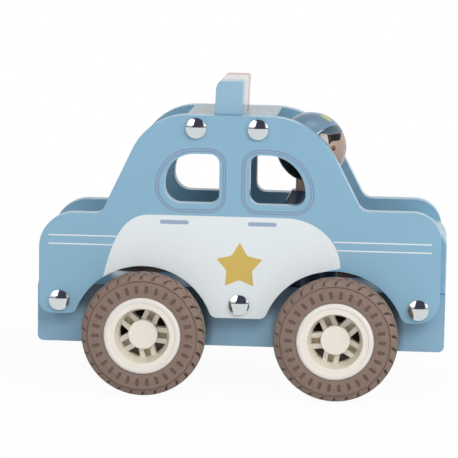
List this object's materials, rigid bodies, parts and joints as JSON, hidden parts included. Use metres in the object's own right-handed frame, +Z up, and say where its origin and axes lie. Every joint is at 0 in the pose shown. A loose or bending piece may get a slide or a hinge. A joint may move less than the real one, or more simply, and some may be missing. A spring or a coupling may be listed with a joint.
{
  "type": "toy police car",
  "caption": "Wooden push-along toy police car with two side panels, a light bar, a turned peg driver and rubber-tyred spoked wheels that roll on steel axles.",
  "frame": {"origin": "on the ground plane under the middle of the base, half way along its length and its width", "axes": "+X towards the front of the car, +Y towards its left side, +Z up"},
  "size_m": [0.205, 0.0978, 0.1562],
  "materials": {
    "body_paint": "satin blue paint on wood",
    "light_white": "satin white paint on wood",
    "light_red": "satin red paint on wood",
    "chrome": "polished",
    "steel": "drawn bar",
    "rim": "moulded cream plastic",
    "tyre": "matt taupe rubber",
    "driver_navy": "satin navy paint on wood",
    "driver_skin": "satin skin paint on wood"
  },
  "bodies": {
    "car": {"floor_block": "body_paint", "front_block": "body_paint", "side_panel_right": "body_paint", "side_panel_left": "body_paint", "roof_block": "body_paint", "light_right": "body_paint", "light_middle": "light_white", "light_left": "light_red", "rod_roof_rear": "steel", "rod_roof_front": "steel", "rod_base_rear": "steel", "rod_base_middle": "steel", "rod_base_front": "steel", "cap_right_roof_rear": "chrome", "cap_right_roof_front": "chrome", "cap_right_base_rear": "chrome", "cap_right_base_middle": "chrome", "cap_right_base_front": "chrome", "cap_left_roof_rear": "chrome", "cap_left_roof_front": "chrome", "cap_left_base_rear": "chrome", "cap_left_base_middle": "chrome", "cap_left_base_front": "chrome"},
    "front_wheels": {"axle_front": "steel", "rim_front_right": "rim", "tyre_front_right": "tyre", "hub_cap_front_right": "rim", "spacer_front_right": "rim", "rim_front_left": "rim", "tyre_front_left": "tyre", "hub_cap_front_left": "rim", "spacer_front_left": "rim"},
    "rear_wheels": {"axle_rear": "steel", "rim_rear_right": "rim", "tyre_rear_right": "tyre", "hub_cap_rear_right": "rim", "spacer_rear_right": "rim", "rim_rear_left": "rim", "tyre_rear_left": "tyre", "hub_cap_rear_left": "rim", "spacer_rear_left": "rim"},
    "driver": {"driver_body": "driver_navy", "driver_head": "driver_skin"}
  },
  "joints": [
    {"name": "front_axle_spin", "type": "hinge", "parent": "car", "child": "front_wheels", "pos_m": [0.04885, 0, 0.031], "axis": [0, 1, 0], "continuous": true},
    {"name": "rear_axle_spin", "type": "hinge", "parent": "car", "child": "rear_wheels", "pos_m": [-0.04665, 0, 0.031], "axis": [0, 1, 0], "continuous": true},
    {"name": "driver_turn", "type": "hinge", "parent": "car", "child": "driver", "pos_m": [0.03303, 0, 0.0518], "axis": [0, 0, 1], "continuous": true}
  ]
}
